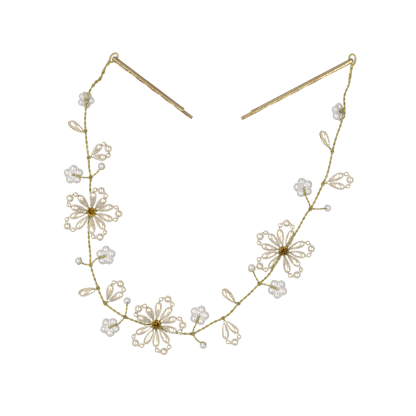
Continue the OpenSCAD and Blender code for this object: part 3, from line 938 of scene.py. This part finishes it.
class HAIRVINE_OT_nests(bpy.types.Operator):
    """The coiled wire in the middle of each flower"""

    bl_idname = "hairvine.nests"
    bl_label = "Flower centres"

    def execute(self, context):
        wires = context.scene.vine_wires
        chance = random.Random(41)
        for flower, (middle, _) in FLOWERS.items():
            hub = coil_middle(middle, wires)
            tangled = flower == "right"
            work = WireWork(flower)
            self.add_base(work, hub, wires)
            self.add_coil(work, hub, wires, chance, 2.5 if tangled else 4)
            self.add_tangle(work, hub, wires, chance, 10 if tangled else 5, tangled)
            name = f"flower_{flower}_centre"
            show(f"{name}_nest", work.mesh(), "dark_gold_wire", name)
        return {"FINISHED"}

    def add_base(self, work, hub, wires):
        """A flat spiral that closes the bottom of the coil."""
        way = []
        for i in range(60):
            angle, reach = 0.42 * i, 0.25 + 0.024 * i
            way.append(placed(hub + Vector((reach * cos(angle), reach * sin(angle), -0.1))))
        work.add(way, 1.1 * wires.nest_radius)

    def add_coil(self, work, hub, wires, chance, turns):
        lean = chance.uniform(0, tau)
        way = []
        for i in range(int(POINTS_PER_TURN * turns) + 1):
            turn = i / POINTS_PER_TURN
            angle = tau * turn
            reach = 1.95 - 0.1 * turn + 0.16 * sin(2.3 * angle + lean)
            height = 0.5 * turn + 0.16 * sin(angle + lean)
            way.append(placed(hub + Vector((reach * cos(angle), reach * sin(angle), max(0, height)))))
        work.add(way, wires.nest_radius)

    def add_tangle(self, work, hub, wires, chance, count, wide):
        """Loops that lie across the coil at odd angles."""
        for _ in range(count):
            away, around = chance.uniform(0.2, 1.7 if wide else 0.6), chance.uniform(0, tau)
            centre = hub + Vector((away * cos(around), away * sin(around), chance.uniform(0.7, 1.5)))
            tilt = Matrix.Rotation(chance.uniform(0.4, 1.3), 3, "X")
            spin = Matrix.Rotation(chance.uniform(0, tau), 3, "Z")
            reach = chance.uniform(0.75, 1.15)
            way = [
                centre + spin @ (tilt @ Vector((reach * cos(a), reach * sin(a), 0)))
                for a in [tau * k / POINTS_PER_TURN for k in range(17)]
            ]
            work.add([placed((p.x, p.y, max(p.z, hub.z))) for p in way], 0.85 * wires.nest_radius)


def wave(part, height):
    return height * (1 - cos(tau * 4 * part)) / 2 if 0 < part < 1 else 0


def pin_route(length, sizes):
    """Way of the strip in its own plane, in metres: short upper leg, bend, long waved lower leg."""
    thick = sizes.strip_height
    low = thick / 2
    bend = (sizes.leg_gap + thick) / 2
    bend_x = bend + low
    upper_end = length - sizes.short_leg
    nip_x = 0.92 * upper_end
    nip = sizes.crimp_height + 2 * thick
    tip = 1.6 * MM
    route = [(upper_end, nip + 0.35 * MM), ((upper_end + nip_x) / 2, nip + 0.05 * MM), (nip_x, nip)]
    for part in shares(12)[1:-1]:
        height = nip + (low + 2 * bend - nip) * part
        route.append((nip_x + (bend_x - nip_x) * part, height))
    for part in shares(16):
        angle = pi * (0.5 + part)
        route.append((bend_x + bend * cos(angle), low + bend + bend * sin(angle)))
    span = length - tip - bend_x
    for part in shares(72)[1:]:
        x = bend_x + span * part
        route.append((x, low + wave((x / length - 0.2) / 0.66, sizes.crimp_height)))
    return route + [(length - tip / 2, low + 0.1 * MM), (length, low + 0.35 * MM)]


def bent_strip(name, route, sizes):
    """The strip of a pin, rounded outward across its width."""
    half = sizes.strip_width / 2
    outward = [Vector((0, 1, 0)).cross(direction_at(route, i)) for i in range(len(route))]
    bm = bmesh.new()
    line = [bm.verts.new(p + Vector((0, -half, 0))) for p in route]
    edges = [bm.edges.new(pair) for pair in zip(line, line[1:])]
    for across in (-0.5, 0, 0.5, 1):
        grown = bmesh.ops.extrude_edge_only(bm, edges=edges)["geom"]
        line = [v for v in grown if isinstance(v, bmesh.types.BMVert)]
        edges = [e for e in grown if isinstance(e, bmesh.types.BMEdge) and set(e.verts) <= set(line)]
        rise = sizes.dome_height * (1 - across ** 2)
        for vert, place, out in zip(line, route, outward):
            vert.co = place + Vector((0, across * half, 0)) + out * rise
    bmesh.ops.recalc_face_normals(bm, faces=bm.faces)
    return applied(
        mesh_of(bm, name),
        ("SOLIDIFY", {"thickness": sizes.strip_height, "offset": 0.0, "use_even_offset": True}),
        ("BEVEL", {"width": 0.16 * MM, "segments": 3, "limit_method": "ANGLE", "angle_limit": radians(50)}),
    )


class HAIRVINE_OT_pins(bpy.types.Operator):
    """The two hairpins, each one bent strip"""

    bl_idname = "hairvine.pins"
    bl_label = "Hairpins"

    def execute(self, context):
        sizes = context.scene.vine_pins
        for side, (at, turn, roll, length) in PINS.items():
            route = [Vector((x, 0, z)) for x, z in pin_route(length * MM, sizes)]
            strip = bent_strip(f"pin_{side}", route, sizes)
            # The lowest point of the leaning, rounded strip rests on the table
            lean = sizes.strip_width / 2 * abs(sin(radians(roll)))
            foot = (sizes.dome_height + lean ** 2 / (4 * sizes.dome_height)) / MM + 0.02
            strip.transform(lying(at, foot, turn) @ turned(roll, "X"))
            show(f"pin_{side}_strip", strip, "pin_metal", f"pin_{side}")
        return {"FINISHED"}


class HAIRVINE_OT_stage(bpy.types.Operator):
    """A pale floor, soft light and a camera that looks straight down"""

    bl_idname = "hairvine.stage"
    bl_label = "Floor, light and camera"

    def execute(self, context):
        scene = context.scene
        scene.view_settings.view_transform = "Standard"
        table, tree = new_material("Light table, opal acrylic")
        add_surface(tree, {
            "Base Color": linear("#4f4f4f"), "Roughness": 0.9, "Emission Color": linear("#ffffff"),
            "Emission Strength": 0.96,
        })
        bm = bmesh.new()
        bmesh.ops.create_grid(bm, x_segments=1, y_segments=1, size=1.5, matrix=shift(0, 0, -0.02))
        floor = add_object("floor", mesh_of(bm, "floor"))
        floor.data.materials.append(table)
        scene.world = self.light_tent()
        # Two long softboxes beside the camera draw two streaks along each pearl
        for name, place, length, power in (
            ("Left softbox", (-0.33, 0.1, 0.6), 0.8, 4.4),
            ("Right softbox", (0.35, -0.1, 0.6), 0.6, 2.9),
        ):
            light = bpy.data.lights.new(name, "AREA")
            light.shape = "RECTANGLE"
            light.size = 0.24
            light.size_y = length
            light.energy = power
            lamp = add_object(name, light)
            lamp.location = place
            lamp.rotation_euler = (0, atan2(place[0], place[2]), 0)
        camera = add_object("Camera", bpy.data.cameras.new("Camera"))
        camera.data.lens = 85
        camera.data.clip_start = 0.01
        camera.location = at_height((-1.2, -2.64), CAMERA_HEIGHT)
        scene.camera = camera
        return {"FINISHED"}

    def light_tent(self):
        """A tent of white cloth: brightest halfway up, a little more to the upper left, dark at the camera's
        opening and below."""
        world = bpy.data.worlds.new("Light tent")
        world.use_nodes = True
        tree = world.node_tree
        tree.nodes.clear()
        coords = add_node(tree, "ShaderNodeTexCoord")
        toward = add_node(tree, "ShaderNodeSeparateXYZ", {"Vector": coords.outputs["Generated"]})
        cloth = add_node(tree, "ShaderNodeValToRGB", {"Fac": toward.outputs["Z"]})
        ramp = cloth.color_ramp
        for position, grey in ((0, 0.15), (0.45, 0.25), (0.6, 1), (0.88, 0.8), (0.94, 0.12), (1, 0.12)):
            stop = ramp.elements.new(position) if 0 < position < 1 else ramp.elements[int(position)]
            stop.color = (grey, grey, grey, 1)
        across = add_node(tree, "ShaderNodeVectorMath", {
            0: coords.outputs["Generated"], 1: (-0.8, 0.6, 0.0),
        }, operation="DOT_PRODUCT")
        side = add_node(tree, "ShaderNodeMapRange", {
            "Value": across.outputs["Value"], "From Min": -0.8, "From Max": 0.8, "To Min": 0.65,
            "To Max": 0.75,
        })
        sky = add_node(tree, "ShaderNodeBackground", {
            "Color": cloth.outputs["Color"], "Strength": side.outputs["Result"],
        })
        add_node(tree, "ShaderNodeOutputWorld", {"Surface": sky.outputs["Background"]})
        return world


class HAIRVINE_PT_parts(bpy.types.Panel):
    """Lists the vine's pieces"""

    bl_idname = "HAIRVINE_PT_parts"
    bl_label = "Hair vine"
    bl_space_type = "VIEW_3D"
    bl_region_type = "UI"
    bl_category = "Hair vine"

    def draw(self, context):
        for operator in OPERATORS:
            self.layout.operator(operator.bl_idname)
        for group, kind in GROUPS.items():
            box = self.layout.box()
            for key in kind.__annotations__:
                box.prop(getattr(context.scene, group), key)


GROUPS = {
    "vine_beads": BeadSizes,
    "vine_blossoms": BlossomSizes,
    "vine_wires": WireSizes,
    "vine_pins": PinSizes,
    "vine_finishes": Finishes,
}
OPERATORS = (
    HAIRVINE_OT_stage,
    HAIRVINE_OT_vine,
    HAIRVINE_OT_threads,
    HAIRVINE_OT_nests,
    HAIRVINE_OT_petals,
    HAIRVINE_OT_sprigs,
    HAIRVINE_OT_leaves,
    HAIRVINE_OT_blossoms,
    HAIRVINE_OT_buds,
    HAIRVINE_OT_pins,
)


def register():
    for group, kind in GROUPS.items():
        bpy.utils.register_class(kind)
        setattr(bpy.types.Scene, group, PointerProperty(type=kind))
    for kind in (*OPERATORS, HAIRVINE_PT_parts):
        bpy.utils.register_class(kind)


def unregister():
    for kind in (HAIRVINE_PT_parts, *reversed(OPERATORS)):
        bpy.utils.unregister_class(kind)
    for group, kind in GROUPS.items():
        delattr(bpy.types.Scene, group)
        bpy.utils.unregister_class(kind)


def main():
    register()
    bpy.ops.hairvine.stage()
    bpy.ops.hairvine.vine()
    bpy.ops.hairvine.threads()
    bpy.ops.hairvine.nests()
    bpy.ops.hairvine.petals()
    bpy.ops.hairvine.sprigs()
    bpy.ops.hairvine.leaves()
    bpy.ops.hairvine.blossoms()
    bpy.ops.hairvine.buds()
    bpy.ops.hairvine.pins()


if __name__ == "__main__":
    main()
